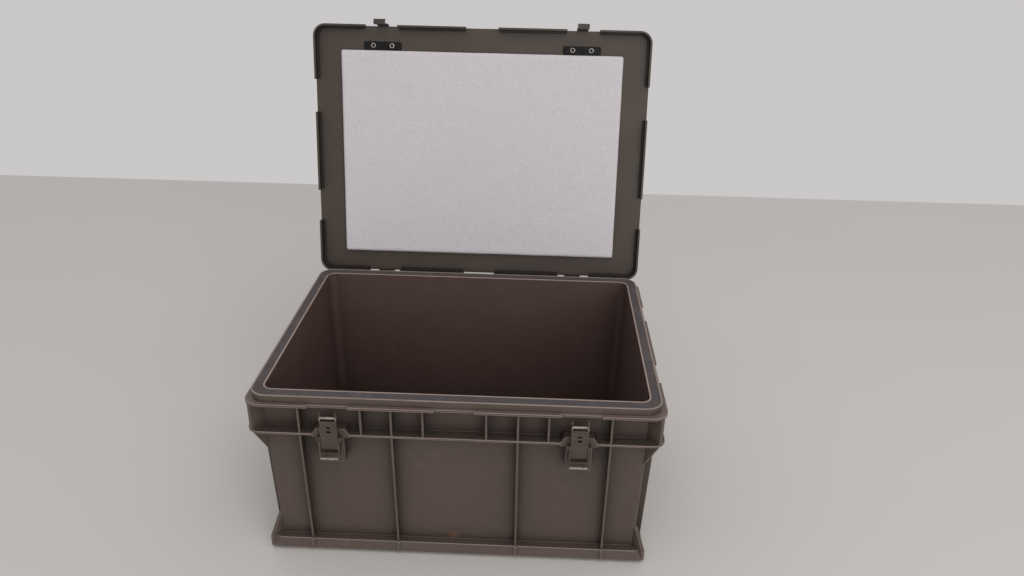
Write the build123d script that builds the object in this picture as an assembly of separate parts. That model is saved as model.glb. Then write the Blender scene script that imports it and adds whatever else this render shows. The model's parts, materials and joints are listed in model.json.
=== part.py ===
from build123d import *
import math
import os

# Stacking tote, 400 x 300 mm footprint, with an attached lid that swings on two steel hinges
# and is held shut by two over-centre draw latches. Millimetres, +Z up, front is -Y.
# Origin: centre of the tote's footprint on the floor. The lid is drawn shut, then swung open.

os.makedirs("parts", exist_ok=True)

# ---------------------------------------------------------------- driving dimensions
HALF_X = 200.0            # half of the 400 mm footprint
HALF_Y = 150.0            # half of the 300 mm footprint
CORNER_R = 15.0
RIM_Z = 190.0             # top of the sealing rim
FLANGE_Z = 182.0          # top of the upper flange
FLANGE_T = 2.5
RIM_HALF_X = 195.0
RIM_HALF_Y = 146.4
RIM_R = 17.0
MOUTH_HALF_X = 183.5      # opening at the rim
MOUTH_HALF_Y = 133.5
MOUTH_R = 9.0
OUTER_R = 3.5             # outer corner of the wall
DRAFT_DEG = 1.5
WALL_T = 2.8
FLOOR_Z = 7.0             # top of the floor
FLOOR_T = 3.0
LOWER_FLANGE_Z = 150.0
LOWER_FLANGE_T = 2.0
LOWER_HALF_X = 200.0
LOWER_HALF_Y = 148.0
LOWER_R = 13.0
BASE_HALF_X = 192.5
BASE_HALF_Y = 142.0
BASE_LEAN = 2.0
BASE_TOP_Z = 14.5
BASE_LOW_Z = 4.0
FOOT_HALF_X = 188.0
FOOT_HALF_Y = 137.0
FOOT_T = 3.0
RIB_T = 2.0
BUMP_OUT = 1.6            # the long ribs carry on down the base flange as low bumps
BUMP_W = 3.0
FIN_T = 4.0               # diagonal fins at the four corners
FIN_REACH = 14.4          # how far they reach out from the corner's centre
FLARE_REACH = 8.0

SHORT_RIB_X = (-148.0, -89.0, -60.0, -30.0, 30.0, 60.0, 89.0, 148.0)
LONG_RIB_X = (-148.0, -60.0, 60.0, 148.0)
SHORT_RIB_Y = (-90.0, -45.0, 45.0, 90.0)
LONG_RIB_Y = (-112.0, -60.0, 0.0, 60.0, 112.0)

NOTCH_X = (-119.0, 0.0, 119.0)   # notches along the front and back
NOTCH_Y = (-66.5, 66.5)          # notches along the sides
NOTCH_W = 38.5
NOTCH_D = 2.0

SEAL_IN = 1.6             # rim edge to the seal's groove, inside
SEAL_OUT = 1.6            # rim edge to the seal's groove, outside
SEAL_GROOVE_D = 2.0

LID_HALF_X = 199.5
LID_HALF_Y = 149.5
LID_LOW_Z = 182.4
LID_UNDER_Z = 190.4
LID_TOP_Z = 193.0
LID_SKIRT_T = 2.3
LID_END_BACK = 1.6        # the panel's edge inside the front and back cut-outs
LID_SIDE_BACK = 0.4       # and inside those along the sides
LID_GROOVE_W = 2.8        # groove inside the skirt
LID_GROOVE_Z = 192.2      # bottom of that groove
LID_BORDER_Z = 195.0
LID_BORDER_IN = 1.0       # raised border, from here in from the edge
LID_BORDER_W = 11.0

SHEET_HALF_X = 167.0
SHEET_Y = (-120.3, 122.5)
SHEET_T = 6.0

STATION_X = 118.0         # latches and hinges sit at +-STATION_X

HINGE_Y = 153.0
HINGE_Z = 180.5
LID_OPEN_DEG = 100.0
KNUCKLE_R = 3.0
HINGE_PIN_R = 1.5
FIT = 0.05                # radial running clearance of every pin

LEVER_AXIS_Y = -152.9     # the lever turns here on the base plate's ears
LEVER_AXIS_Z = 148.0
CLAW_AXIS_Y = -152.4      # the claw turns here on the lever
CLAW_AXIS_Z = 138.0
BAR_Z = 171.3             # the claw's cross bar
BAR_R = 1.25
PLATE_FRONT_Y = -149.5    # front face of the latch's base plate
PLATE_BACK_Y = -148.0

SIDES = {"left": -1, "right": 1}


# ---------------------------------------------------------------- helpers
def slab(hx, hy, r, z0, z1):
    return extrude(Pos(0, 0, z0) * RectangleRounded(2 * hx, 2 * hy, r), z1 - z0)


def block(x0, x1, y0, y1, z0, z1):
    centre = Pos((x0 + x1) / 2, (y0 + y1) / 2, (z0 + z1) / 2)
    return centre * Box(x1 - x0, y1 - y0, z1 - z0)


def tapered(hx0, hy0, r0, z0, hx1, hy1, r1, z1):
    low = Pos(0, 0, z0) * RectangleRounded(2 * hx0, 2 * hy0, r0)
    high = Pos(0, 0, z1) * RectangleRounded(2 * hx1, 2 * hy1, r1)
    return loft([low, high], ruled=True)


def side_profile(points, x0, x1):
    """A (y, z) outline pulled along X from x0 to x1."""
    face = Polygon(*points, align=None)
    plane = Plane(origin=(x0, 0, 0), x_dir=(0, 1, 0), z_dir=(1, 0, 0))
    return extrude(plane * face, x1 - x0, dir=(1, 0, 0))


def front_profile(points, y0, y1):
    """An (x, z) outline pulled along Y from y0 to y1."""
    face = Polygon(*points, align=None)
    plane = Plane(origin=(0, y1, 0), x_dir=(1, 0, 0), z_dir=(0, -1, 0))
    return extrude(plane * face, y1 - y0, dir=(0, -1, 0))


def rod_x(y, z, r, x0, x1):
    return Pos((x0 + x1) / 2, y, z) * Rot(0, 90, 0) * Cylinder(r, x1 - x0)


def rod_y(x, z, r, y0, y1):
    return Pos(x, (y0 + y1) / 2, z) * Rot(90, 0, 0) * Cylinder(r, y1 - y0)


def rod_z(x, y, r, z0, z1):
    return Pos(x, y, (z0 + z1) / 2) * Cylinder(r, z1 - z0)


def inset(z):
    """How far the drafted wall has come in from the rim at height z."""
    return (RIM_Z - z) * math.tan(math.radians(DRAFT_DEG))


def corner_plate(points, side, end):
    """An (s, z) outline stood on a corner's diagonal; s runs outwards from the corner's centre."""
    turned = Rot(0, 0, math.degrees(math.atan2(end, side)))
    return Pos(side * (HALF_X - CORNER_R), end * (HALF_Y - CORNER_R), 0) * turned * front_profile(
        points, -FIN_T / 2, FIN_T / 2)


def drafted(extra, z0, z1, r):
    a = inset(z0)
    b = inset(z1)
    return tapered(MOUTH_HALF_X + extra - a, MOUTH_HALF_Y + extra - a, r,
                   z0, MOUTH_HALF_X + extra - b, MOUTH_HALF_Y + extra - b, r, z1)


def swing_open(shape):
    """Turn a piece of the shut lid about the hinge line to the open pose."""
    return shape.rotate(Axis((0, HINGE_Y, HINGE_Z), (-1, 0, 0)), LID_OPEN_DEG)


def write(shape, name):
    export_step(shape, "parts/" + name + ".step")


# ---------------------------------------------------------------- tote body
wall_y = MOUTH_HALF_Y + WALL_T
wall_x = MOUTH_HALF_X + WALL_T

notched = RectangleRounded(2 * HALF_X, 2 * HALF_Y, CORNER_R)
for x in NOTCH_X:
    for side in (-1, 1):
        notched -= Pos(x, side * HALF_Y) * Rectangle(NOTCH_W, 2 * NOTCH_D)
for y in NOTCH_Y:
    for side in (-1, 1):
        notched -= Pos(side * HALF_X, y) * Rectangle(2 * NOTCH_D, NOTCH_W)

tote = drafted(WALL_T, FLOOR_Z - FLOOR_T, RIM_Z, OUTER_R)
tote += slab(RIM_HALF_X, RIM_HALF_Y, RIM_R, FLANGE_Z - FLANGE_T, RIM_Z)
tote += extrude(Pos(0, 0, FLANGE_Z - FLANGE_T) * notched, FLANGE_T)
tote += slab(LOWER_HALF_X, LOWER_HALF_Y, LOWER_R,
             LOWER_FLANGE_Z - LOWER_FLANGE_T, LOWER_FLANGE_Z)

# base flange: a skirt that leans out slightly and squares up towards its lower corners
tote += tapered(BASE_HALF_X, BASE_HALF_Y, 4, BASE_LOW_Z,
                BASE_HALF_X - BASE_LEAN, BASE_HALF_Y - BASE_LEAN, 12, BASE_TOP_Z)
under = slab(FOOT_HALF_X - FOOT_T, FOOT_HALF_Y - FOOT_T, 7, BASE_LOW_Z - 1, BASE_TOP_Z - 2)
under -= slab(181, 131, OUTER_R, BASE_LOW_Z - 2, BASE_TOP_Z)
tote -= under

# short ribs between the two flanges, long ribs from the lower flange to the base
for x in SHORT_RIB_X:
    for side in (-1, 1):
        y0 = side * (wall_y - 3)
        y1 = side * (LOWER_HALF_Y - 0.8)
        tote += block(x - RIB_T / 2, x + RIB_T / 2, min(y0, y1), max(y0, y1),
                      LOWER_FLANGE_Z - 1, FLANGE_Z - 1)
for y in SHORT_RIB_Y:
    for side in (-1, 1):
        x0 = side * (wall_x - 3)
        x1 = side * (LOWER_HALF_X - 2.5)
        tote += block(min(x0, x1), max(x0, x1), y - RIB_T / 2, y + RIB_T / 2,
                      LOWER_FLANGE_Z - 1, FLANGE_Z - 1)
for x in LONG_RIB_X:
    for side in (-1, 1):
        outline = [(side * 132, BASE_TOP_Z - 1), (side * (BASE_HALF_Y - BASE_LEAN - 0.5), BASE_TOP_Z - 1),
                   (side * (LOWER_HALF_Y - 0.5), LOWER_FLANGE_Z - 1),
                   (side * 132, LOWER_FLANGE_Z - 1)]
        tote += side_profile(outline, x - RIB_T / 2, x + RIB_T / 2)
        bump = [(side * (BASE_HALF_Y - BASE_LEAN - 1), BASE_TOP_Z - 0.2),
                (side * (BASE_HALF_Y - BASE_LEAN + BUMP_OUT), BASE_TOP_Z - 0.2),
                (side * (BASE_HALF_Y + BUMP_OUT), BASE_LOW_Z + 0.8),
                (side * (BASE_HALF_Y - BASE_LEAN - 1), BASE_LOW_Z + 0.8)]
        tote += side_profile(bump, x - BUMP_W / 2, x + BUMP_W / 2)
for y in LONG_RIB_Y:
    for side in (-1, 1):
        outline = [(side * 180, BASE_TOP_Z - 1), (side * (BASE_HALF_X - BASE_LEAN - 0.5), BASE_TOP_Z - 1),
                   (side * (LOWER_HALF_X - 4.5), LOWER_FLANGE_Z - 1),
                   (side * 180, LOWER_FLANGE_Z - 1)]
        tote += front_profile(outline, y - RIB_T / 2, y + RIB_T / 2)

# diagonal corner fins: full between the flanges, a gusset below them, a flare onto the base
between = [(-6, LOWER_FLANGE_Z - 1), (FIN_REACH, LOWER_FLANGE_Z - 1),
           (FIN_REACH, FLANGE_Z - 1), (-6, FLANGE_Z - 1)]
gusset = [(-6, 118), (-1.2, 120), (FIN_REACH - 0.3, LOWER_FLANGE_Z - 1),
          (-6, LOWER_FLANGE_Z - 1)]
flare = [(-8, 40), (-3.6, 38.5), (FLARE_REACH, BASE_TOP_Z), (FLARE_REACH, BASE_LOW_Z + 2),
         (FLARE_REACH - 4, BASE_LOW_Z), (-4, BASE_LOW_Z), (-8, BASE_LOW_Z + 3)]
for side in (-1, 1):
    for end in (-1, 1):
        for outline in (between, gusset, flare):
            tote += corner_plate(outline, side, end)

# pads that carry the latches in front and the hinges behind
for side in (-1, 1):
    x = side * STATION_X
    wings = [(x - 17.5, 146.4), (x + 17.5, 146.4), (x + 17.5, 151), (x + 14, 156.6),
             (x - 14, 156.6), (x - 17.5, 151)]
    tote += front_profile(wings, PLATE_BACK_Y, -132)
    tote += block(x - 12.5, x + 12.5, PLATE_BACK_Y, -130, 119, LOWER_FLANGE_Z - 1)
    tote += block(x - 12, x + 12, 130, HALF_Y - NOTCH_D, LOWER_FLANGE_Z - 1, FLANGE_Z - 1)

# the foot that nests in the lid below, with a grid of ribs under the floor
tote += (slab(FOOT_HALF_X, FOOT_HALF_Y, 10, 0, BASE_LOW_Z + 1)
         - slab(FOOT_HALF_X - FOOT_T, FOOT_HALF_Y - FOOT_T, 7, -1, BASE_LOW_Z + 2))
for x in (-120.0, -60.0, 0.0, 60.0, 120.0):
    tote += block(x - 1, x + 1, -FOOT_HALF_Y + 2, FOOT_HALF_Y - 2, 0, BASE_LOW_Z + 0.5)
for y in (-66.0, 0.0, 66.0):
    tote += block(-FOOT_HALF_X + 2, FOOT_HALF_X - 2, y - 1, y + 1, 0, BASE_LOW_Z + 0.5)

# the hollow
hollow = drafted(0, FLOOR_Z, RIM_Z + 1, MOUTH_R)
hollow = fillet(hollow.edges().group_by(Axis.Z)[0], 4)
tote -= hollow

# groove for the seal
tote -= (slab(RIM_HALF_X - SEAL_OUT, RIM_HALF_Y - SEAL_OUT, RIM_R - SEAL_OUT,
              RIM_Z - SEAL_GROOVE_D, RIM_Z + 1)
         - slab(MOUTH_HALF_X + SEAL_IN, MOUTH_HALF_Y + SEAL_IN, MOUTH_R + 2,
                RIM_Z - SEAL_GROOVE_D, RIM_Z + 1))

# rivet holes in the pads
LATCH_RIVET_Z = (125.5, 144.0)
LATCH_RIVET_R = 1.6
HINGE_RIVET_Z = (157.0, 169.0)
HINGE_RIVET_R = 1.8
for side in (-1, 1):
    x = side * STATION_X
    for z in LATCH_RIVET_Z:
        tote -= rod_y(x, z, LATCH_RIVET_R, -150, -140)
    for z in HINGE_RIVET_Z:
        tote -= rod_y(x, z, HINGE_RIVET_R, 138, 150)
write(tote, "tote_body")

# ---------------------------------------------------------------- seal
seal = (slab(RIM_HALF_X - SEAL_OUT, RIM_HALF_Y - SEAL_OUT, RIM_R - SEAL_OUT,
             RIM_Z - SEAL_GROOVE_D, RIM_Z - 0.3)
        - slab(MOUTH_HALF_X + SEAL_IN, MOUTH_HALF_Y + SEAL_IN, MOUTH_R + 2,
               RIM_Z - SEAL_GROOVE_D, RIM_Z))
write(seal, "rim_seal")

# ---------------------------------------------------------------- lid
lid = slab(LID_HALF_X, LID_HALF_Y, CORNER_R - 0.5, LID_LOW_Z, LID_TOP_Z)
lid -= slab(LID_HALF_X - LID_SKIRT_T, LID_HALF_Y - LID_SKIRT_T, CORNER_R - 3,
            LID_LOW_Z - 1, LID_UNDER_Z)
border_in = LID_BORDER_IN + LID_BORDER_W
lid += (slab(LID_HALF_X - LID_BORDER_IN, LID_HALF_Y - LID_BORDER_IN, CORNER_R - 1.5,
             LID_TOP_Z - 1, LID_BORDER_Z)
        - slab(LID_HALF_X - border_in, LID_HALF_Y - border_in, 9,
               LID_TOP_Z - 2, LID_BORDER_Z + 1))
groove = (slab(LID_HALF_X - LID_SKIRT_T, LID_HALF_Y - LID_SKIRT_T, CORNER_R - 3,
               LID_UNDER_Z - 0.5, LID_GROOVE_Z)
          - slab(LID_HALF_X - LID_SKIRT_T - LID_GROOVE_W, LID_HALF_Y - LID_SKIRT_T - LID_GROOVE_W,
                 CORNER_R - 5.8, LID_UNDER_Z - 1, LID_GROOVE_Z + 1))
half = NOTCH_W / 2
for x in NOTCH_X:
    for side in (-1, 1):
        edge = side * (LID_HALF_Y - LID_END_BACK)
        far = side * (LID_HALF_Y + 2)
        skirt = side * (LID_HALF_Y - LID_SKIRT_T - 1)
        near = side * (LID_HALF_Y - 14)
        groove -= block(x - half - 1, x + half + 1, min(near, far), max(near, far), 185, 195)
        lid -= block(x - half, x + half, min(edge, far), max(edge, far), 180, 200)
        lid -= block(x - half, x + half, min(skirt, far), max(skirt, far), 180, LID_UNDER_Z)
        lid -= block(x - half, x + half, min(near, far), max(near, far), LID_TOP_Z,
                     LID_BORDER_Z + 1)
for y in NOTCH_Y:
    for side in (-1, 1):
        edge = side * (LID_HALF_X - LID_SIDE_BACK)
        far = side * (LID_HALF_X + 2)
        skirt = side * (LID_HALF_X - LID_SKIRT_T - 1)
        near = side * (LID_HALF_X - 14)
        groove -= block(min(near, far), max(near, far), y - half - 1, y + half + 1, 185, 195)
        lid -= block(min(edge, far), max(edge, far), y - half, y + half, 180, 200)
        lid -= block(min(skirt, far), max(skirt, far), y - half, y + half, 180, LID_UNDER_Z)
lid -= groove
lid -= slab(150, 100, 12, LID_TOP_Z - 0.8, LID_TOP_Z + 1)

KEEPER_RIVET_DX = 11.0
KEEPER_RIVET_Y = -126.0
KEEPER_RIVET_R = 2.0
LID_RIVET_Y = (108.5, 119.0)
LID_RIVET_R = 1.8
for side in (-1, 1):
    for dx in (-KEEPER_RIVET_DX, KEEPER_RIVET_DX):
        lid -= rod_z(side * STATION_X + dx, KEEPER_RIVET_Y, KEEPER_RIVET_R, 185, 200)
    for y in LID_RIVET_Y:
        lid -= rod_z(side * STATION_X, y, LID_RIVET_R, 185, 200)
write(swing_open(lid), "lid")

sheet = extrude(Pos(0, sum(SHEET_Y) / 2, LID_UNDER_Z - SHEET_T)
                * RectangleRounded(2 * SHEET_HALF_X, SHEET_Y[1] - SHEET_Y[0], 5), SHEET_T)
write(swing_open(sheet), "lid_liner")

# ---------------------------------------------------------------- keepers on the lid
KEEPER_T = 1.4
KEEPER_HALF = 6.7
BACKING_T = 1.5
HOOK_LOW_Z = 168.7
HOOK_T = 1.0
HOOK_LIP_Z = 173.8
HOOK_LIP_Y = -155.2
STRAP_Y = -150.8
plate_top_z = LID_TOP_Z + KEEPER_T
backing_z = LID_UNDER_Z - BACKING_T
rivets = []
for name, side in SIDES.items():
    x = side * STATION_X
    keeper = block(x - 18, x + 18, -132, -120, LID_TOP_Z, plate_top_z)
    keeper = fillet(keeper.edges().filter_by(Axis.Z), 3)
    outline = [(-131, LID_TOP_Z), (STRAP_Y + KEEPER_T, LID_TOP_Z),
               (STRAP_Y + KEEPER_T, HOOK_LOW_Z), (HOOK_LIP_Y, HOOK_LOW_Z),
               (HOOK_LIP_Y, HOOK_LIP_Z), (HOOK_LIP_Y + 1.2, HOOK_LIP_Z),
               (HOOK_LIP_Y + 1.2, HOOK_LOW_Z + HOOK_T), (STRAP_Y, HOOK_LOW_Z + HOOK_T),
               (STRAP_Y, plate_top_z), (-131, plate_top_z)]
    keeper += side_profile(outline, x - KEEPER_HALF, x + KEEPER_HALF)
    backing = block(x - 22.25, x + 22.25, -130.5, -120.5, backing_z, LID_UNDER_Z)
    backing = fillet(backing.edges().filter_by(Axis.Z), 2)
    for dx in (-KEEPER_RIVET_DX, KEEPER_RIVET_DX):
        hole = rod_z(x + dx, KEEPER_RIVET_Y, KEEPER_RIVET_R, 180, 200)
        keeper -= hole
        backing -= hole
        rivet = rod_z(x + dx, KEEPER_RIVET_Y, KEEPER_RIVET_R, backing_z, plate_top_z)
        rivet += rod_z(x + dx, KEEPER_RIVET_Y, 3.4, plate_top_z, plate_top_z + 1.2)
        rivet += rod_z(x + dx, KEEPER_RIVET_Y, 3.4, backing_z - 1.2, backing_z)
        rivets.append(swing_open(rivet))
    write(swing_open(keeper), "keeper_" + name)
    write(swing_open(backing), "backing_plate_" + name)
write(Compound(children=rivets), "keeper_rivets")

# ---------------------------------------------------------------- hinges
LEAF_T = 1.4
LEAF_HALF = 12.0
KNUCKLE_SPLIT = 6.2       # body knuckles start here, from the hinge's middle
LID_KNUCKLE_HALF = 5.8
STRAP_HALF = 10.0
body_rivets = []
lid_rivets = []
leaf_y = HALF_Y - NOTCH_D
for name, side in SIDES.items():
    x = side * STATION_X
    leaf = block(x - LEAF_HALF, x + LEAF_HALF, leaf_y, leaf_y + LEAF_T,
                 LOWER_FLANGE_Z + 1.5, HINGE_Z - KNUCKLE_R + LEAF_T)
    for a, b in ((-LEAF_HALF, -KNUCKLE_SPLIT), (KNUCKLE_SPLIT, LEAF_HALF)):
        leaf += block(x + a, x + b, leaf_y, HINGE_Y, HINGE_Z - KNUCKLE_R,
                      HINGE_Z - KNUCKLE_R + LEAF_T)
        leaf += rod_x(HINGE_Y, HINGE_Z, KNUCKLE_R, x + a, x + b)
    leaf -= rod_x(HINGE_Y, HINGE_Z, HINGE_PIN_R, x - 20, x + 20)
    for z in HINGE_RIVET_Z:
        leaf -= rod_y(x, z, HINGE_RIVET_R, 140, 160)
        rivet = rod_y(x, z, HINGE_RIVET_R, 138, leaf_y + LEAF_T)
        rivet += rod_y(x, z, 3.2, leaf_y + LEAF_T, leaf_y + LEAF_T + 1.2)
        body_rivets.append(rivet)
    write(leaf, "hinge_body_leaf_" + name)

    web_y = HINGE_Y - KNUCKLE_R
    strap = rod_x(HINGE_Y, HINGE_Z, KNUCKLE_R, x - LID_KNUCKLE_HALF, x + LID_KNUCKLE_HALF)
    strap += block(x - LID_KNUCKLE_HALF, x + LID_KNUCKLE_HALF, web_y, web_y + LEAF_T,
                   HINGE_Z, LID_TOP_Z + LEAF_T)
    strap += block(x - STRAP_HALF, x + STRAP_HALF, web_y, web_y + LEAF_T, 185.5,
                   LID_TOP_Z + LEAF_T)
    strap += block(x - STRAP_HALF, x + STRAP_HALF, 101, web_y + LEAF_T, LID_TOP_Z,
                   LID_TOP_Z + LEAF_T)
    strap -= rod_x(HINGE_Y, HINGE_Z, HINGE_PIN_R + FIT, x - 20, x + 20)
    for y in LID_RIVET_Y:
        strap -= rod_z(x, y, LID_RIVET_R, 185, 200)
        rivet = rod_z(x, y, LID_RIVET_R, LID_UNDER_Z, LID_TOP_Z + LEAF_T)
        rivet += rod_z(x, y, 3.2, LID_TOP_Z + LEAF_T, LID_TOP_Z + LEAF_T + 1.2)
        lid_rivets.append(swing_open(rivet))
    write(swing_open(strap), "hinge_lid_strap_" + name)

    pin = rod_x(HINGE_Y, HINGE_Z, HINGE_PIN_R, x - LEAF_HALF, x + LEAF_HALF)
    for end in (-1, 1):
        a = x + end * LEAF_HALF
        b = x + end * (LEAF_HALF + 1)
        pin += rod_x(HINGE_Y, HINGE_Z, HINGE_PIN_R + 0.8, min(a, b), max(a, b))
    write(pin, "hinge_pin_" + name)
write(Compound(children=body_rivets), "hinge_body_rivets")
write(Compound(children=lid_rivets), "hinge_lid_rivets")

# ---------------------------------------------------------------- draw latches
LEVER_PIN_R = 1.25
CLAW_PIN_R = 1.1
EAR_IN = 10.4
EAR_OUT = 11.5
LEVER_IN = 8.4
LEVER_OUT = 9.4
CLAW_IN = 7.1
CLAW_OUT = 8.1
CLAW_WEB_TOP_Z = 168.35
CLAW_EAR_Z = 176.0
WEB_BACK_Y = -155.1
WEB_FRONT_Y = -156.2
CLAW_BACK_Y = -150.6
CLAW_FRONT_Y = -154.6
latch_rivets = []
for name, side in SIDES.items():
    x = side * STATION_X

    # base plate: rounded shoulders, two ears, a small stop under the lever
    base = block(x - 11.5, x + 11.5, PLATE_FRONT_Y, PLATE_BACK_Y, 121, 156)
    base = fillet(base.edges().filter_by(Axis.Y).group_by(Axis.Z)[-1], 6)
    for end in (-1, 1):
        a = x + end * EAR_IN
        b = x + end * EAR_OUT
        base += block(min(a, b), max(a, b), LEVER_AXIS_Y, PLATE_FRONT_Y + 0.5,
                      LEVER_AXIS_Z - 3.2, LEVER_AXIS_Z + 2.4)
        base += rod_x(LEVER_AXIS_Y, LEVER_AXIS_Z, 3.2, min(a, b), max(a, b))
    base += block(x - 6, x + 6, -151.2, PLATE_FRONT_Y, 131, 132.2)
    base -= rod_x(LEVER_AXIS_Y, LEVER_AXIS_Z, LEVER_PIN_R, x - 15, x + 15)
    for z in LATCH_RIVET_Z:
        base -= rod_y(x, z, LATCH_RIVET_R, -152, -146)
        rivet = rod_y(x, z, LATCH_RIVET_R, PLATE_FRONT_Y, -140)
        rivet += rod_y(x, z, 2.6, PLATE_FRONT_Y - 1, PLATE_FRONT_Y)
        latch_rivets.append(rivet)
    write(base, "latch_base_" + name)

    # lever: two side cheeks, a short web below the claw's pin and a curled finger lip
    lever = side_profile([(WEB_BACK_Y, 129), (WEB_FRONT_Y, 129), (WEB_FRONT_Y, 134),
                          (WEB_BACK_Y, 134)], x - LEVER_OUT, x + LEVER_OUT)
    lever += side_profile([(WEB_BACK_Y, 128.4), (-159.2, 129.2), (-159.4, 130.6),
                           (WEB_FRONT_Y + 0.3, 130.4), (WEB_BACK_Y, 130)],
                          x - 8.6, x + 8.6)
    lever += rod_x(-159.3, 130.2, 1.2, x - 8.6, x + 8.6)
    for end in (-1, 1):
        a = x + end * LEVER_IN
        b = x + end * LEVER_OUT
        cheek = [(-150.4, LEVER_AXIS_Z), (-150.4, 131), (-152.4, 129), (WEB_FRONT_Y, 129),
                 (WEB_FRONT_Y, 140), (LEVER_AXIS_Y - 2.6, LEVER_AXIS_Z)]
        lever += side_profile(cheek, min(a, b), max(a, b))
        lever += rod_x(LEVER_AXIS_Y, LEVER_AXIS_Z, 2.8, min(a, b), max(a, b))
    lever -= rod_x(LEVER_AXIS_Y, LEVER_AXIS_Z, LEVER_PIN_R + FIT, x - 15, x + 15)
    lever -= rod_x(CLAW_AXIS_Y, CLAW_AXIS_Z, CLAW_PIN_R, x - 15, x + 15)
    write(lever, "latch_lever_" + name)

    # claw: web with two punched holes, two cheeks and the cross bar that takes the keeper
    claw = block(x - CLAW_OUT, x + CLAW_OUT, CLAW_FRONT_Y, CLAW_FRONT_Y + 1.1,
                 CLAW_AXIS_Z, CLAW_WEB_TOP_Z)
    for end in (-1, 1):
        a = x + end * CLAW_IN
        b = x + end * CLAW_OUT
        claw += block(min(a, b), max(a, b), CLAW_FRONT_Y, CLAW_BACK_Y, CLAW_AXIS_Z,
                      CLAW_EAR_Z)
        claw += rod_x(CLAW_AXIS_Y, CLAW_AXIS_Z, 2.0, min(a, b), max(a, b))
        claw += rod_x((CLAW_FRONT_Y + CLAW_BACK_Y) / 2, CLAW_EAR_Z, 2.0, min(a, b), max(a, b))
    claw += rod_x(-152.4, BAR_Z, BAR_R, x - CLAW_OUT, x + CLAW_OUT)
    for z in (157.0, 161.5):
        slot = Pos(x, -152.9, z) * Rot(90, 0, 0) * SlotOverall(4.4, 2.6)
        claw -= extrude(slot, 4, dir=(0, -1, 0))
    claw -= rod_x(CLAW_AXIS_Y, CLAW_AXIS_Z, CLAW_PIN_R + FIT, x - 15, x + 15)
    write(claw, "latch_claw_" + name)

    studs = []
    for end in (-1, 1):
        a = x + end * LEVER_IN
        b = x + end * EAR_OUT
        c = x + end * (EAR_OUT + 0.8)
        stud = rod_x(LEVER_AXIS_Y, LEVER_AXIS_Z, LEVER_PIN_R, min(a, b), max(a, b))
        stud += rod_x(LEVER_AXIS_Y, LEVER_AXIS_Z, 2.0, min(b, c), max(b, c))
        studs.append(stud)
    write(Compound(children=studs), "lever_studs_" + name)

    pin = rod_x(CLAW_AXIS_Y, CLAW_AXIS_Z, CLAW_PIN_R, x - LEVER_OUT, x + LEVER_OUT)
    for end in (-1, 1):
        a = x + end * LEVER_OUT
        b = x + end * (LEVER_OUT + 0.5)
        pin += rod_x(CLAW_AXIS_Y, CLAW_AXIS_Z, 1.8, min(a, b), max(a, b))
    write(pin, "claw_pin_" + name)
write(Compound(children=latch_rivets), "latch_rivets")
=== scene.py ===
import json
import math
import bmesh
import bpy
from mathutils import Matrix, Vector, noise


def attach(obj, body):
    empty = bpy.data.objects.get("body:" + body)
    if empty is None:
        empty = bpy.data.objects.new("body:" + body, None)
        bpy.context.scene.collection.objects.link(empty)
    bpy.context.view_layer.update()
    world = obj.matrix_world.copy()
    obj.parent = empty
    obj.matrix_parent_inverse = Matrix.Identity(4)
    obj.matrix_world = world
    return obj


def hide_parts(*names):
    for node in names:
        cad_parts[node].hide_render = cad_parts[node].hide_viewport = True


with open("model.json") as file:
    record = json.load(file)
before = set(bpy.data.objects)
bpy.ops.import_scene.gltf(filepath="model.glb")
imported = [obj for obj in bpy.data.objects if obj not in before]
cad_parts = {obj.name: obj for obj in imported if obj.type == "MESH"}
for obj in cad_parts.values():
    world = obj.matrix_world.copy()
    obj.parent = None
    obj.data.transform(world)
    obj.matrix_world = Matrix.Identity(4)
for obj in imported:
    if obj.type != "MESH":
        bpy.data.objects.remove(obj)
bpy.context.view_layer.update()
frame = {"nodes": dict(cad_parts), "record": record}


NODES = frame["nodes"]

# ---------------------------------------------------------------- places, in metres
HINGE_Y, HINGE_Z = 0.153, 0.1805
OPEN = math.radians(100.0)
UNDER_Z = 0.1904                     # underside of the lid, shut
LID_RIVET_Z = 0.1944                 # where rivets stand on the lid's outer side, shut
RIM_Z = 0.190                        # top of the tote's rim
MOUTH_X, MOUTH_Y = 0.1835, 0.1335    # half the mouth, at the rim
WALL_T = 0.0028
DRAFT = math.tan(math.radians(1.5))
STATION_X = 0.118                    # latches and hinges stand this far from the middle
FLANGE_LIPS = [(0.1790, 0.1822), (0.1477, 0.1502), (0.0136, 0.0146)]   # (low z, high z)
BASE_EDGE = (0.0042, 0.0148)         # low and high z of the base flange's face
STAIN = (-0.004, -0.132, 0.0195)
LATCH_RUBS = [(0.1698, 0.1730, -0.1505), (0.1290, 0.1312, -0.1572)]    # claw's bar, lever's lip

# The lid is described shut and swung open about the hinge line, as the CAD does.
LID = (Matrix.Translation((0, HINGE_Y, HINGE_Z)) @ Matrix.Rotation(-OPEN, 4, "X")
       @ Matrix.Translation((0, -HINGE_Y, -HINGE_Z)))


# ---------------------------------------------------------------- material helpers
def srgb(r, g, b):
    """The linear colour of an sRGB colour given as 0 to 255."""
    def lin(v):
        v = v / 255.0
        return v / 12.92 if v <= 0.04045 else ((v + 0.055) / 1.055) ** 2.4
    return (lin(r), lin(g), lin(b), 1.0)


def darker(colour, factor):
    return tuple(v * factor for v in colour[:3]) + (1.0,)


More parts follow.
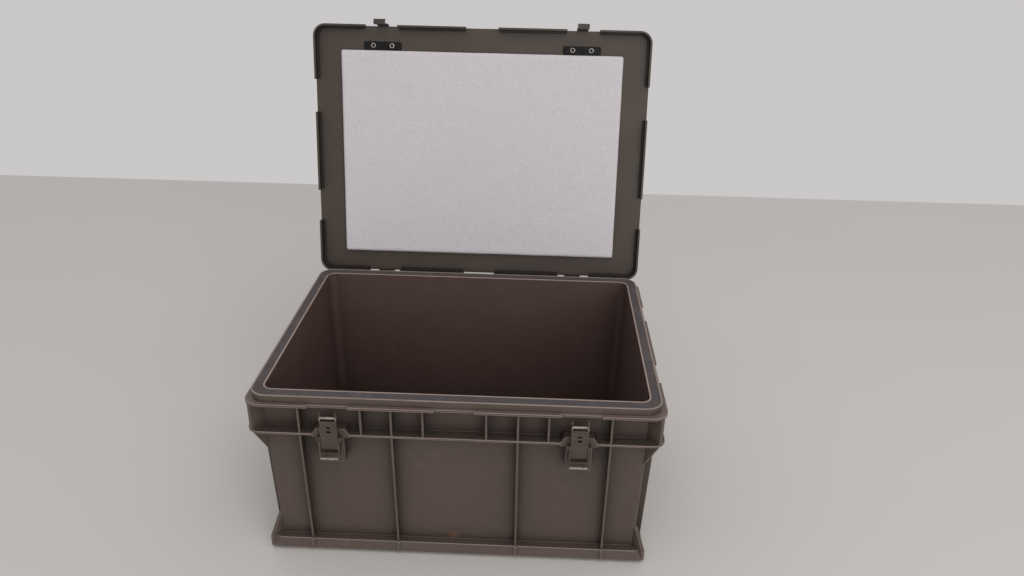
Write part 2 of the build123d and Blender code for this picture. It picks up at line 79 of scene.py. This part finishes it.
class Mat:
    """A small builder for one node material."""

    def __init__(self, name, rough, specular):
        self.mat = bpy.data.materials.new(name)
        self.mat.use_nodes = True
        self.tree = self.mat.node_tree
        self.bsdf = self.tree.nodes["Principled BSDF"]
        self.bsdf.inputs["Roughness"].default_value = rough
        self.bsdf.inputs["Specular IOR Level"].default_value = specular
        self.coord = self.node("ShaderNodeTexCoord").outputs["Object"]

    def node(self, kind, **settings):
        made = self.tree.nodes.new(kind)
        for key, value in settings.items():
            setattr(made, key, value)
        return made

    def link(self, a, b):
        self.tree.links.new(a, b)

    def split(self, vector):
        """The X, Y and Z outputs of a vector."""
        made = self.node("ShaderNodeSeparateXYZ")
        self.link(vector, made.inputs[0])
        return made.outputs

    def math(self, operation, a, b=None, clamp=False):
        made = self.node("ShaderNodeMath", operation=operation, use_clamp=clamp)
        for socket, value in zip(made.inputs, (a, b)):
            if value is None:
                continue
            if isinstance(value, (int, float)):
                socket.default_value = value
            else:
                self.link(value, socket)
        return made.outputs[0]

    def times(self, a, b):
        return self.math("MULTIPLY", a, b)

    def noise(self, scale, detail, stretch=None, rough=0.55):
        source = self.coord
        if stretch:
            mapping = self.node("ShaderNodeMapping")
            mapping.inputs["Scale"].default_value = stretch
            self.link(self.coord, mapping.inputs["Vector"])
            source = mapping.outputs[0]
        made = self.node("ShaderNodeTexNoise")
        made.inputs["Scale"].default_value = scale
        made.inputs["Detail"].default_value = detail
        made.inputs["Roughness"].default_value = rough
        self.link(source, made.inputs["Vector"])
        return made.outputs["Fac"]

    def ramp(self, fac, low, high, to=(0.0, 1.0)):
        """Goes smoothly from to[0], at low and below, to to[1], at high and above."""
        made = self.node("ShaderNodeMapRange", interpolation_type="SMOOTHSTEP")
        made.inputs["From Min"].default_value = low
        made.inputs["From Max"].default_value = high
        made.inputs["To Min"].default_value, made.inputs["To Max"].default_value = to
        self.link(fac, made.inputs["Value"])
        return made.outputs["Result"]

    def mix(self, fac, a, b):
        made = self.node("ShaderNodeMix", data_type="RGBA")
        self.link(fac, made.inputs[0])
        for socket, value in ((made.inputs[6], a), (made.inputs[7], b)):
            if isinstance(value, tuple):
                socket.default_value = value
            else:
                self.link(value, socket)
        return made.outputs[2]

    def bevel(self, radius):
        made = self.node("ShaderNodeBevel", samples=6)
        made.inputs["Radius"].default_value = radius
        return made.outputs[0]

    def edges(self, radius, low, high):
        """1 along convex and concave edges, 0 on open faces."""
        geometry = self.node("ShaderNodeNewGeometry")
        dot = self.node("ShaderNodeVectorMath", operation="DOT_PRODUCT")
        self.link(self.bevel(radius), dot.inputs[0])
        self.link(geometry.outputs["Normal"], dot.inputs[1])
        return self.ramp(self.math("SUBTRACT", 1.0, dot.outputs["Value"]), low, high)

    def openness(self, distance):
        """Ambient occlusion from the piece itself: 1 in the open, less in creases and corners."""
        made = self.node("ShaderNodeAmbientOcclusion", samples=6, only_local=True)
        made.inputs["Distance"].default_value = distance
        return made.outputs["AO"]

    def surface(self, heights, radius, distance):
        """Softened edges, where radius isn't 0, with a stack of (height, strength) bumps on top."""
        normal = self.bevel(radius) if radius else None
        for height, strength in heights:
            bump = self.node("ShaderNodeBump")
            bump.inputs["Strength"].default_value = strength
            bump.inputs["Distance"].default_value = distance
            self.link(height, bump.inputs["Height"])
            if normal is not None:
                self.link(normal, bump.inputs["Normal"])
            normal = bump.outputs[0]
        self.link(normal, self.bsdf.inputs["Normal"])

    def finish(self, colour, rough):
        self.link(colour, self.bsdf.inputs["Base Color"])
        self.link(rough, self.bsdf.inputs["Roughness"])


# ---------------------------------------------------------------- plastic
BAND_SOFT = 0.0004               # run-out of a height band, at both ends
PLASTIC_SPECULAR = 0.42
GRAIN_SCALE = 1400.0
EDGE_RADIUS = 0.0013             # width of the pale line along edges: rubbed wear and painted highlight
CORNER_SIZE = 0.036              # reach of the broad shade in corners and between ribs
BLOTCH_STRENGTH = 0.045
SCUFF_STRENGTH = 0.10
DUST_AND_TOP_LIGHT = 0.22
DUST_AND_TOP_LIGHT_Z = (0.176, 0.179)     # the dust and painted top light are full above these heights and thin below
RIM_HIGHLIGHT_Z = (RIM_Z - 0.0007, RIM_Z - 0.0001)
UNDER_SHADE_Z = (0.0036, 0.0046)        # painted shade under the base flange fades out between these heights
SCRAPE_STRENGTH = 0.05
STAIN_R = (0.0012, 0.0072)       # the stain fades out between these distances
HOLLOW_TINT = srgb(82, 64, 59)
STAIN_TINT = srgb(126, 76, 50)


def band(m, height, low, high):
    """1 between two heights, with a soft run-out at both ends."""
    rise = m.ramp(height, low - BAND_SOFT, low)
    fall = m.ramp(height, high, high + BAND_SOFT, to=(1.0, 0.0))
    return m.times(rise, fall)


def lip_bands(m, height):
    """1 at the heights of the three flanges' edges."""
    lips = 0.0
    for low, high in FLANGE_LIPS:
        lips = m.math("ADD", band(m, height, low, high), lips, clamp=True)
    return lips


def inside_tote(m, place):
    """1 on the hollow's drafted walls and floor, 0 on the outside of the wall."""
    drop = m.math("SUBTRACT", RIM_Z, place["Z"])
    lean = m.times(drop, DRAFT)
    across = m.math("ADD", m.math("ABSOLUTE", place["X"]), lean)
    along = m.math("ADD", m.math("ABSOLUTE", place["Y"]), lean)
    return m.times(m.math("LESS_THAN", across, MOUTH_X + WALL_T / 2),
                   m.math("LESS_THAN", along, MOUTH_Y + WALL_T / 2))


def scuffed(m, colour, pale):
    """Faint blotches, and thin scuffs that run along X and along Z."""
    blotch = m.ramp(m.noise(60.0, 4, rough=0.6), 0.50, 0.80)
    colour = m.mix(m.times(blotch, BLOTCH_STRENGTH), colour, pale)
    scuff = m.ramp(m.noise(40.0, 6, (3.0, 3.0, 26.0), 0.7), 0.69, 0.82)
    hatch = m.ramp(m.noise(36.0, 6, (24.0, 3.0, 3.0), 0.7), 0.70, 0.82)
    return m.mix(m.times(m.math("MAXIMUM", scuff, hatch), SCUFF_STRENGTH), colour, pale)


def dusty_and_toplit(m, colour, pale, height, inner):
    """Dust, with painted light from above, on what faces up: full on the upper flange, thin below
    it, none in the hollow.
    """
    facing = m.split(m.node("ShaderNodeNewGeometry").outputs["Normal"])
    dust = m.ramp(facing["Z"], 0.80, 0.96, to=(0.0, DUST_AND_TOP_LIGHT))
    dust = m.times(dust, m.math("SUBTRACT", 1.0, inner, clamp=True))
    dust = m.times(dust, m.ramp(height, *DUST_AND_TOP_LIGHT_Z, to=(0.25, 1.0)))
    return m.mix(dust, colour, pale)


def highlit_rim_ridges(m, colour, pale, height, inner):
    """Painted highlight along the tops of the rim's two ridges."""
    top = m.ramp(height, *RIM_HIGHLIGHT_Z)
    amount = m.ramp(m.noise(70.0, 4), 0.2, 0.6, to=(0.28, 0.52))
    amount = m.math("ADD", amount, m.times(inner, 0.34), clamp=True)
    return m.mix(m.times(top, amount), colour, pale)


def marked_base(m, colour, pale, deep, height):
    """Painted shade under the base flange, light scraping on its face, and one rusty stain above
    it.
    """
    under_shade = m.ramp(height, *UNDER_SHADE_Z, to=(0.75, 0.0))
    colour = m.mix(under_shade, colour, darker(deep, 0.25))
    streaks = m.noise(80.0, 5, (3.0, 3.0, 12.0), 0.65)
    scrape = m.ramp(streaks, 0.30, 0.65, to=(0.0, SCRAPE_STRENGTH))
    colour = m.mix(m.times(band(m, height, *BASE_EDGE), scrape), colour, pale)
    stain = m.node("ShaderNodeVectorMath", operation="DISTANCE")
    m.link(m.coord, stain.inputs[0])
    stain.inputs[1].default_value = STAIN
    near = m.ramp(stain.outputs["Value"], *STAIN_R, to=(0.38, 0.0))
    return m.mix(near, colour, STAIN_TINT)


def plastic(name, base, pale, deep, rough, tote=False, wear=0.85, crease_size=0.004):
    """Moulded polypropylene: even tint, fine grain, pale edges of rubbed wear and painted
    highlight, a few thin scuffs, and painted shade in creases and corners.

    tote: also the marks that belong to places on the tote's body.
    """
    m = Mat(name, rough, PLASTIC_SPECULAR)
    cloud = m.ramp(m.noise(7.0, 3), 0.30, 0.72)
    colour = m.mix(m.times(cloud, 0.45), base, deep)
    if tote:
        place = m.split(m.coord)
        height = place["Z"]
        uneven = m.ramp(m.noise(9.0, 3), 0.2, 0.7, to=(0.8, 1.0))
        inner = m.times(inside_tote(m, place), uneven)
        colour = m.mix(inner, colour, HOLLOW_TINT)
        lips = lip_bands(m, height)
    colour = scuffed(m, colour, pale)

    # pale line along edges, partly rubbed wear and partly painted highlight; wear sets its strength
    line = m.edges(EDGE_RADIUS, 0.008, 0.12)
    worn_and_highlit = m.times(line, m.ramp(m.noise(120.0, 4), 0.18, 0.55, to=(0.60, 1.0)))
    if tote:
        worn_and_highlit = m.times(worn_and_highlit, m.ramp(lips, 0.0, 1.0, to=(0.40, 1.0)))
    colour = m.mix(m.times(worn_and_highlit, wear), colour, pale)

    # painted shade: darker in creases and tight corners from the piece's own occlusion, then
    # broadly in corners and between ribs
    crease = m.openness(crease_size)
    crease_shade = m.ramp(crease, 0.35, 0.82, to=(0.70, 0.0))
    colour = m.mix(crease_shade, colour, darker(deep, 0.30))
    shade = m.ramp(m.openness(CORNER_SIZE), 0.38, 0.98, to=(0.88, 0.0))
    if tote:
        shade = m.times(shade, m.ramp(inner, 0.0, 1.0, to=(1.0, 0.55)))
    colour = m.mix(shade, colour, darker(deep, 0.35))

    if tote:
        # painted highlight along the flanges' outer edges
        outer_highlight = m.times(line, m.ramp(crease, 0.74, 0.92))
        colour = m.mix(m.times(m.times(lips, outer_highlight), 0.75), colour, pale)
        colour = dusty_and_toplit(m, colour, pale, height, inner)
        colour = highlit_rim_ridges(m, colour, pale, height, inner)
        colour = marked_base(m, colour, pale, deep, height)

    gloss = m.ramp(m.noise(14.0, 4), 0.3, 0.7, to=(rough - 0.04, rough + 0.06))
    m.finish(colour, m.math("SUBTRACT", gloss, m.times(line, 0.10), clamp=True))
    wave, grain = m.noise(22.0, 2), m.noise(GRAIN_SCALE, 2)
    m.surface([(wave, 0.18), (grain, 0.26)], 0.0010, 0.0004)
    return m.mat


# ---------------------------------------------------------------- metal, rubber, foam
BARE_EDGE_RADIUS = 0.0007        # width of the bare line along a painted edge
BARE_METALLIC = 0.55
RUB_OUT = 0.0004                 # run-out of a rubbed zone outside its limits
RUB_IN = 0.0002                  # and inside them


def painted(name, base, worn_colour, rough, wear, bands=(), specular=0.5):
    """Painted pressed steel, rubbed to bare metal along its edges and in small chips.

    bands: (low z, high z, front y) zones at rest, where hands and the keeper rub it.
    """
    m = Mat(name, rough, specular)
    tint = m.ramp(m.noise(60.0, 4), 0.3, 0.7)
    colour = m.mix(tint, darker(base, 0.72), base)
    edge = m.edges(BARE_EDGE_RADIUS, 0.03, 0.25)
    chips = m.ramp(m.noise(420.0, 5, rough=0.7), 0.60, 0.68)
    rubbed = m.times(edge, m.ramp(m.noise(240.0, 3), 0.32, 0.60))
    bare = m.math("MAXIMUM", m.times(rubbed, wear), m.times(chips, 0.35 * wear))
    if bands:
        place = m.split(m.coord)
        for low, high, front in bands:
            up = m.ramp(place["Z"], low - RUB_OUT, low + RUB_IN)
            down = m.ramp(place["Z"], high - RUB_IN, high + RUB_OUT, to=(1.0, 0.0))
            out = m.ramp(place["Y"], front - RUB_IN, front + RUB_IN, to=(1.0, 0.0))
            patchy = m.ramp(m.noise(300.0, 4), 0.3, 0.6, to=(0.30, 0.95))
            bare = m.math("MAXIMUM", bare, m.times(m.times(m.times(up, down), out), patchy))
    m.link(m.times(bare, BARE_METALLIC), m.bsdf.inputs["Metallic"])
    m.finish(m.mix(bare, colour, worn_colour),
             m.ramp(m.noise(180.0, 4), 0.3, 0.7, to=(rough - 0.08, rough + 0.12)))
    m.surface([(m.noise(700.0, 3), 0.18)], 0.0004, 0.0002)
    return m.mat


def bright_steel(name, base, rough):
    """Dull zinc plate: brushed, blotched and faintly stained."""
    m = Mat(name, rough, 0.5)
    m.bsdf.inputs["Metallic"].default_value = 0.9
    stain = m.ramp(m.noise(260.0, 5, rough=0.7), 0.45, 0.72)
    m.finish(m.mix(stain, base, darker(base, 0.45)),
             m.ramp(m.noise(500.0, 3), 0.3, 0.7, to=(rough - 0.1, rough + 0.15)))
    m.surface([(m.noise(900.0, 3, (1.0, 6.0, 1.0)), 0.2)], 0.0003, 0.0002)
    return m.mat


def rubber(name, base, pale):
    """Sponge rubber strip: closed skin with small pores and a little dust."""
    m = Mat(name, 0.7, 0.3)
    dust = m.ramp(m.noise(45.0, 5), 0.4, 0.75)
    m.finish(m.mix(m.times(dust, 0.5), base, pale),
             m.ramp(m.noise(120.0, 3), 0.3, 0.7, to=(0.6, 0.8)))
    m.surface([(m.noise(1600.0, 3), 0.5)], 0.0005, 0.0003)
    return m.mat


def foam(name, base, shade, mark):
    """Pale foam with a fibrous skin: crossed fibres, soft smudges and small flecks."""
    m = Mat(name, 0.92, 0.15)
    m.bsdf.inputs["Sheen Weight"].default_value = 0.25
    m.bsdf.inputs["Sheen Roughness"].default_value = 0.6
    fibre_a = m.noise(240.0, 5, (1.0, 1.0, 5.0), 0.7)
    fibre_b = m.noise(240.0, 5, (5.0, 1.0, 1.0), 0.7)
    fibre = m.times(m.math("ADD", fibre_a, fibre_b), 0.5)
    colour = m.mix(m.ramp(fibre, 0.36, 0.60, to=(0.35, 1.0)), shade, base)
    smudge = m.ramp(m.noise(9.0, 5, rough=0.6), 0.60, 0.85)
    colour = m.mix(m.times(smudge, 0.16), colour, mark)
    fleck = m.ramp(m.noise(85.0, 3), 0.74, 0.80)
    colour = m.mix(m.times(fleck, 0.35), colour, mark)
    m.link(colour, m.bsdf.inputs["Base Color"])
    m.surface([(m.noise(30.0, 3), 0.25), (fibre, 0.8)], 0.0, 0.0012)
    return m.mat


BODY = plastic("tote_plastic", srgb(82, 70, 63), srgb(170, 152, 143), srgb(76, 65, 58), 0.48,
               tote=True)
LIDP = plastic("lid_plastic", srgb(68, 59, 51), srgb(94, 86, 78), srgb(60, 51, 46), 0.50,
               wear=0.30, crease_size=0.010)
SEAL = rubber("seal_rubber", srgb(77, 70, 70), srgb(98, 90, 91))
FOAM = foam("liner_foam", srgb(209, 205, 209), srgb(190, 185, 190), srgb(160, 154, 155))
BLACK = painted("backing_steel", srgb(13, 12, 16), srgb(74, 72, 76), 0.55, 0.35, specular=0.22)
LATCH = painted("latch_steel", srgb(71, 61, 54), srgb(160, 150, 138), 0.44, 0.60, LATCH_RUBS)
STUD = painted("stud_steel", srgb(70, 61, 54), srgb(122, 113, 105), 0.46, 0.40)
# the keepers' painted steel made darker: painted shade, as they stand backlit
SHADED_KEEPER = painted("keeper_steel_shaded", srgb(56, 46, 43), srgb(128, 116, 108), 0.50, 0.45)
HINGE = painted("hinge_steel", srgb(72, 63, 56), srgb(140, 131, 123), 0.46, 0.5)
RIVET = bright_steel("rivet_steel", srgb(190, 186, 178), 0.34)

# The look of each material slot, and of the few nodes that differ from their slot.
LOOKS = {"tote_plastic": BODY, "lid_plastic": LIDP, "seal_rubber": SEAL, "liner_foam": FOAM,
         "backing_steel": BLACK, "latch_steel": LATCH, "hinge_steel": HINGE, "rivet_steel": RIVET}
NODE_LOOKS = {"lever_studs_left": STUD, "lever_studs_right": STUD, "claw_pin_left": STUD,
              "claw_pin_right": STUD, "keeper_left": SHADED_KEEPER, "keeper_right": SHADED_KEEPER}
for part in frame["record"]["subparts"]:
    mesh = NODES[part["node"]].data
    mesh.materials.clear()
    mesh.materials.append(NODE_LOOKS.get(part["node"], LOOKS[part["material_slot"]]))


# ---------------------------------------------------------------- mesh helpers
LATHE_STEPS = 28


def put(name, data):
    """A new object in the scene."""
    obj = bpy.data.objects.new(name, data)
    bpy.context.scene.collection.objects.link(obj)
    return obj


def add_mesh(name, bm, material, body):
    """Makes a smooth piece of bm that rides on body, and frees bm."""
    bmesh.ops.recalc_face_normals(bm, faces=bm.faces)
    mesh = bpy.data.meshes.new(name)
    bm.to_mesh(mesh)
    bm.free()
    for polygon in mesh.polygons:
        polygon.use_smooth = True
    mesh.materials.append(material)
    obj = put(name, mesh)
    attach(obj, body)
    return obj


def lathe(bm, profile, place):
    """Spins an (r, z) profile about z and puts it at place."""
    rings = []
    for r, z in profile:
        if r == 0:
            rings.append([bm.verts.new(place @ Vector((0, 0, z)))])
        else:
            turns = [2 * math.pi * i / LATHE_STEPS for i in range(LATHE_STEPS)]
            rings.append([bm.verts.new(place @ Vector((r * math.cos(a), r * math.sin(a), z)))
                          for a in turns])
    for low, high in zip(rings, rings[1:]):
        for i in range(LATHE_STEPS):
            j = (i + 1) % LATHE_STEPS
            if len(low) == 1:
                bm.faces.new((low[0], high[i], high[j]))
            else:
                bm.faces.new((low[i], low[j], high[j], high[i]))


def rolled_ring(r, h):
    """Rolled outer ring of a tubular rivet's head."""
    return [(0.52 * r, 0.10 * h), (0.55 * r, 0.55 * h), (0.63 * r, 0.90 * h), (0.74 * r, h),
            (0.87 * r, 0.82 * h), (0.97 * r, 0.38 * h), (r, 0.0)]


def rivet_eye(r, h):
    """Shallow dished eye inside the rolled ring."""
    return [(0, 0.12 * h), (0.30 * r, 0.14 * h), (0.48 * r, 0.30 * h), (0.55 * r, 0.52 * h)]


def dome_rivet(r, h):
    """Low domed head of a solid rivet."""
    return [(0, h), (0.30 * r, 0.97 * h), (0.58 * r, 0.84 * h), (0.80 * r, 0.60 * h),
            (0.94 * r, 0.30 * h), (r, 0.0)]


def aim(x, y, z, direction):
    """A matrix that puts the origin at x, y, z and points its z axis along direction."""
    return Matrix.Translation((x, y, z)) @ Vector((0, 0, 1)).rotation_difference(
        Vector(direction)).to_matrix().to_4x4()


# ---------------------------------------------------------------- rivets
UP, DOWN, FRONT, BACK = (0, 0, 1), (0, 0, -1), (0, -1, 0), (0, 1, 0)
STATIONS = (-STATION_X, STATION_X)
BACKING_T = 0.0015               # the keepers' backing plates, under the lid
KEEPER_RIVET_Y = -0.126
KEEPER_RIVET_DX = (-0.011, 0.011)
STRAP_RIVET_Y = (0.1085, 0.119)
LEAF_FACE_Y = 0.1494
LEAF_RIVET_Z = (0.157, 0.169)
LATCH_FACE_Y = -0.1495
LATCH_RIVET_Z = (0.1255, 0.144)
KEEPER_RING = (0.0031, 0.0012)   # radius and height of each kind of head
KEEPER_DOME = (0.0034, 0.0012)
HINGE_DOME = (0.0032, 0.0012)
LATCH_DOME = (0.0026, 0.0010)


def domes(size, places):
    """A mesh of domed heads of one size, one at each place."""
    bm = bmesh.new()
    for place in places:
        lathe(bm, dome_rivet(*size), place)
    return bm


bm = bmesh.new()
eyes = bmesh.new()
for station in STATIONS:
    for dx in KEEPER_RIVET_DX:
        under = LID @ aim(station + dx, KEEPER_RIVET_Y, UNDER_Z - BACKING_T, DOWN)
        lathe(bm, rolled_ring(*KEEPER_RING), under)
        lathe(eyes, rivet_eye(*KEEPER_RING), under)
        outside = LID @ aim(station + dx, KEEPER_RIVET_Y, LID_RIVET_Z, UP)
        lathe(bm, dome_rivet(*KEEPER_DOME), outside)
keeper_heads = add_mesh("keeper_rivet_heads", bm, RIVET, "lid")
# the shallow eyes take the black plate's steel: painted shade standing in for each tubular rivet's
# deep hollow
add_mesh("keeper_rivet_eyes", eyes, BLACK, "lid")
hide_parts("keeper_rivets")

bm = domes(HINGE_DOME, [LID @ aim(station, y, LID_RIVET_Z, UP)
                        for station in STATIONS for y in STRAP_RIVET_Y])
strap_heads = add_mesh("hinge_strap_rivet_heads", bm, RIVET, "lid")
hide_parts("hinge_lid_rivets")

bm = domes(HINGE_DOME, [aim(station, LEAF_FACE_Y, z, BACK)
                        for station in STATIONS for z in LEAF_RIVET_Z])
leaf_heads = add_mesh("hinge_leaf_rivet_heads", bm, RIVET, "tote")
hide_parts("hinge_body_rivets")

bm = domes(LATCH_DOME, [aim(station, LATCH_FACE_Y, z, FRONT)
                        for station in STATIONS for z in LATCH_RIVET_Z])
latch_heads = add_mesh("latch_rivet_heads", bm, RIVET, "tote")
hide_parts("latch_rivets")

# ---------------------------------------------------------------- the liner sheet
LINER_HALF_X = 0.167
LINER_Y = (-0.1203, 0.1225)      # front and back edge, the lid shut
LINER_T = 0.006
LINER_CORNER = 0.0025            # radius of its corners in plan
LINER_CELLS = (120, 88)
LINER_CROWDING = 0.75            # below 1, the cells are smaller towards the edges
LINER_EDGE_T = 0.82              # share of the thickness at the very edge
LINER_RISE_T = 0.14              # and what its eased edge adds to that
LINER_EASE = 0.0016              # width of the eased edge
LINER_WAVES = [(30, 0.0, 0.00035), (90, 7.0, 0.00022)]   # (scale, seed, height)
WANDER = 0.0005                  # how far its cut edge strays inwards
WANDER_SCALE, WANDER_SEED = 18, 3.1
WANDER_IN = 0.02                 # how far in the straying fades out
GLUE_GAP = 0.00005


def crowded(t):
    """Spaces t, from -1 to 1, closer together towards both ends."""
    return math.copysign(abs(t) ** LINER_CROWDING, t)


def liner_point(x, y, half_x, half_y):
    """One point of the sheet's face: where it is in plan, and its depth below the lid."""
    corner_x, corner_y = half_x - LINER_CORNER, half_y - LINER_CORNER
    over_x, over_y = abs(x) - corner_x, abs(y) - corner_y
    if over_x > 0 and over_y > 0:
        far = math.hypot(over_x, over_y)
        if far > LINER_CORNER:
            x = math.copysign(corner_x + over_x * LINER_CORNER / far, x)
            y = math.copysign(corner_y + over_y * LINER_CORNER / far, y)
    inset = min(half_x - abs(x), half_y - abs(y))
    spot = Vector((x * WANDER_SCALE, y * WANDER_SCALE, WANDER_SEED))
    pull = abs(WANDER * noise.noise(spot)) * max(0.0, 1 - inset / WANDER_IN)
    if half_x - abs(x) < WANDER_IN:
        x -= math.copysign(pull, x)
    if half_y - abs(y) < WANDER_IN:
        y -= math.copysign(pull, y)
    ease = min(1.0, max(0.0, inset / LINER_EASE))
    rise = 1 - (1 - ease) ** 2
    depth = LINER_T * (LINER_EDGE_T + LINER_RISE_T * rise)
    for scale, seed, height in LINER_WAVES:
        depth += height * noise.noise(Vector((x * scale, y * scale, seed))) * rise
    return x, y, depth


def liner():
    """A soft foam sheet glued under the lid: eased edges, gentle unevenness."""
    nx, ny = LINER_CELLS
    front, back = LINER_Y
    mid_y, half_y = (front + back) / 2, (back - front) / 2
    bm = bmesh.new()
    grid = {}
    for i in range(nx + 1):
        for j in range(ny + 1):
            x, y, depth = liner_point(crowded(-1 + 2 * i / nx) * LINER_HALF_X,
                                      crowded(-1 + 2 * j / ny) * half_y, LINER_HALF_X, half_y)
            grid[i, j] = bm.verts.new((x, mid_y + y, UNDER_Z - depth))
    for i in range(nx):
        for j in range(ny):
            bm.faces.new((grid[i, j], grid[i + 1, j], grid[i + 1, j + 1], grid[i, j + 1]))
    rim = ([grid[i, 0] for i in range(nx)] + [grid[nx, j] for j in range(ny)]
           + [grid[i, ny] for i in range(nx, 0, -1)] + [grid[0, j] for j in range(ny, 0, -1)])
    glued = [bm.verts.new((v.co.x, v.co.y, UNDER_Z - GLUE_GAP)) for v in rim]
    for k in range(len(rim)):
        n = (k + 1) % len(rim)
        bm.faces.new((rim[k], rim[n], glued[n], glued[k]))
    bm.faces.new(glued)
    bm.transform(LID)
    return bm


sheet = add_mesh("foam_liner", liner(), FOAM, "lid")
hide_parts("lid_liner")

# ---------------------------------------------------------------- floor
FLOOR_HALF = 0.5                 # before its scale
FLOOR_SCALE = (9.0, 3.05, 1.0)
FLOOR_PLACE = (0.0, -0.475, -0.0002)

bm = bmesh.new()
bmesh.ops.create_grid(bm, x_segments=60, y_segments=60, size=FLOOR_HALF)
floor_mesh = bpy.data.meshes.new("floor")
bm.to_mesh(floor_mesh)
bm.free()
floor = put("floor", floor_mesh)
floor.scale = FLOOR_SCALE
floor.location = FLOOR_PLACE
m = Mat("floor_resin", 0.42, 0.35)
tone = m.ramp(m.noise(2.4, 5), 0.3, 0.75)
m.finish(m.mix(tone, srgb(206, 203, 199), srgb(213, 210, 206)),
         m.ramp(m.noise(3.5, 4), 0.3, 0.7, to=(0.38, 0.52)))
m.surface([(m.noise(9.0, 3), 0.10)], 0.0, 0.0006)
floor_mesh.materials.append(m.mat)

# ---------------------------------------------------------------- light
WORLD_COLOUR = (1.0, 0.972, 0.975, 1.0)
WORLD_STRENGTH = 0.59
LAMP_COLOUR = (1.0, 0.975, 0.95)

world = bpy.data.worlds.new("studio")
bpy.context.scene.world = world
world.use_nodes = True
backdrop = world.node_tree.nodes["Background"]
backdrop.inputs["Color"].default_value = WORLD_COLOUR
backdrop.inputs["Strength"].default_value = WORLD_STRENGTH


def area(name, place, target, size, power):
    """A rectangular lamp at place that faces target."""
    light = bpy.data.lights.new(name, "AREA")
    light.shape = "RECTANGLE"
    light.size, light.size_y = size
    light.energy = power
    light.color = LAMP_COLOUR
    obj = put(name, light)
    obj.location = place
    obj.rotation_euler = (Vector(target) - Vector(place)).to_track_quat("-Z", "Y").to_euler()


area("ceiling", (0.4, -1.2, 2.5), (0, -0.3, 0), (2.6, 1.6), 15)
area("window", (1.1, -2.5, 1.1), (0, -0.1, 0.0), (2.2, 1.2), 27)

# ---------------------------------------------------------------- camera, fitted to the photograph
CAMERA_LENS = 28.93
CAMERA_PLACE = (0.070754, -0.789763, 0.61156)
CAMERA_RIGHT = Vector((0.9991, 0.038233, 0.01836))
CAMERA_UP = Vector((-0.03287, 0.424406, 0.904875))
CAMERA_AHEAD = Vector((-0.026804, 0.904665, -0.425281))

camera = bpy.data.cameras.new("camera")
camera.sensor_width = 36.0
camera.lens = CAMERA_LENS
camera.clip_start = 0.01
eye = put("camera", camera)
turn = Matrix((CAMERA_RIGHT, CAMERA_UP, -CAMERA_AHEAD)).transposed().to_4x4()
eye.matrix_world = Matrix.Translation(CAMERA_PLACE) @ turn
bpy.context.scene.camera = eye
bpy.context.scene.view_settings.view_transform = "Standard"

bpy.context.view_layer.update()
